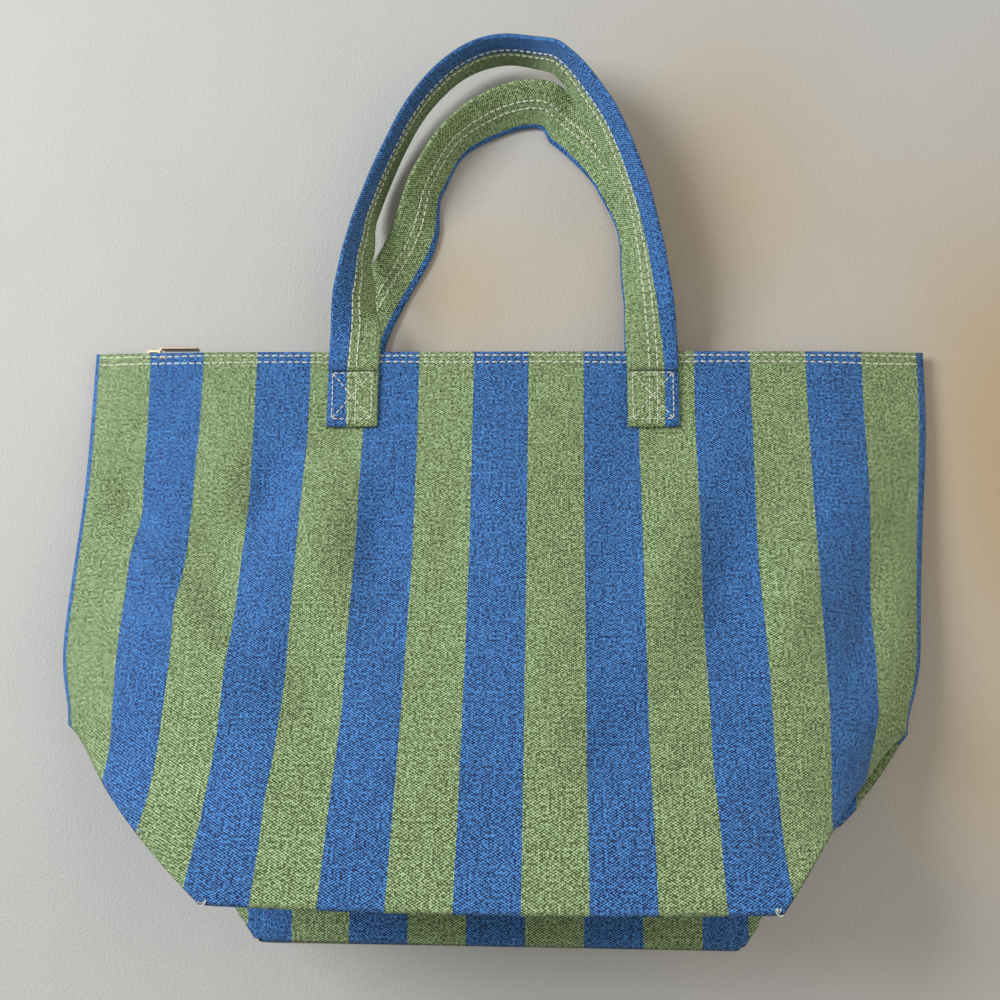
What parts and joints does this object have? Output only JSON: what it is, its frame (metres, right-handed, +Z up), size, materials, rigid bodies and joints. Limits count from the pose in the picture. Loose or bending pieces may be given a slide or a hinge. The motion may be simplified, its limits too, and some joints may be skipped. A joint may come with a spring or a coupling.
{
  "type": "foldable tote bag",
  "caption": "Canvas tote bag lying on its back, with a folded-in boxed base, two swinging sewn handles and an open zip across the mouth.",
  "frame": {"origin": "the middle of the underside of the bag's box, on the surface that it lies on", "axes": "+X across the bag, +Y from the base towards the handles, +Z up, out of the front panel"},
  "size_m": [0.4576, 0.4964, 0.0965],
  "materials": {
    "striped_canvas": "coarse woven canvas in wide blue and green stripes",
    "strap_canvas": "folded woven canvas, top-stitched",
    "seam_binding": "woven binding tape",
    "zip_tape": "fine woven tape",
    "zip_metal": "dull antique brass"
  },
  "bodies": {
    "bag": {"front_panel": "striped_canvas", "back_panel": "striped_canvas", "base_back_half": "striped_canvas", "base_front_half": "striped_canvas", "gusset_back_left": "striped_canvas", "gusset_back_right": "striped_canvas", "gusset_front_left": "striped_canvas", "gusset_front_right": "striped_canvas", "side_seam_left": "seam_binding", "side_seam_right": "seam_binding", "base_seam": "seam_binding", "front_handle_end_left": "strap_canvas", "front_handle_end_right": "strap_canvas", "back_handle_end_left": "strap_canvas", "back_handle_end_right": "strap_canvas", "zip_tape_front": "zip_tape", "zip_tape_back": "zip_tape", "zip_teeth_front": "zip_metal", "zip_teeth_back": "zip_metal", "zip_bottom_stop": "zip_metal", "zip_top_stop": "zip_metal"},
    "front_handle": {"front_handle": "strap_canvas"},
    "back_handle": {"back_handle": "strap_canvas"},
    "zip_slider": {"zip_slider": "zip_metal"},
    "zip_pull": {"zip_pull": "zip_metal"}
  },
  "joints": [
    {"name": "front_handle_swing", "type": "hinge", "parent": "bag", "child": "front_handle", "pos_m": [0, 0.05308, 0.0213], "axis": [1, 0, 0], "range_deg": [0, 120]},
    {"name": "back_handle_swing", "type": "hinge", "parent": "bag", "child": "back_handle", "pos_m": [0, 0.06655, 0.0026], "axis": [1, 0, 0], "range_deg": [0, 72]},
    {"name": "zip_slide", "type": "slide", "parent": "bag", "child": "zip_slider", "axis": [1, 0, 0], "range_m": [0, 0.39]},
    {"name": "zip_pull_swing", "type": "hinge", "parent": "zip_slider", "child": "zip_pull", "pos_m": [-0.1934, 0.06955, 0.0087], "axis": [0, 0, 1], "range_deg": [0, 170]}
  ],
  "couplings": [
    {"joint": "back_handle_swing", "follows": "front_handle_swing", "ratio": 0.6}
  ]
}
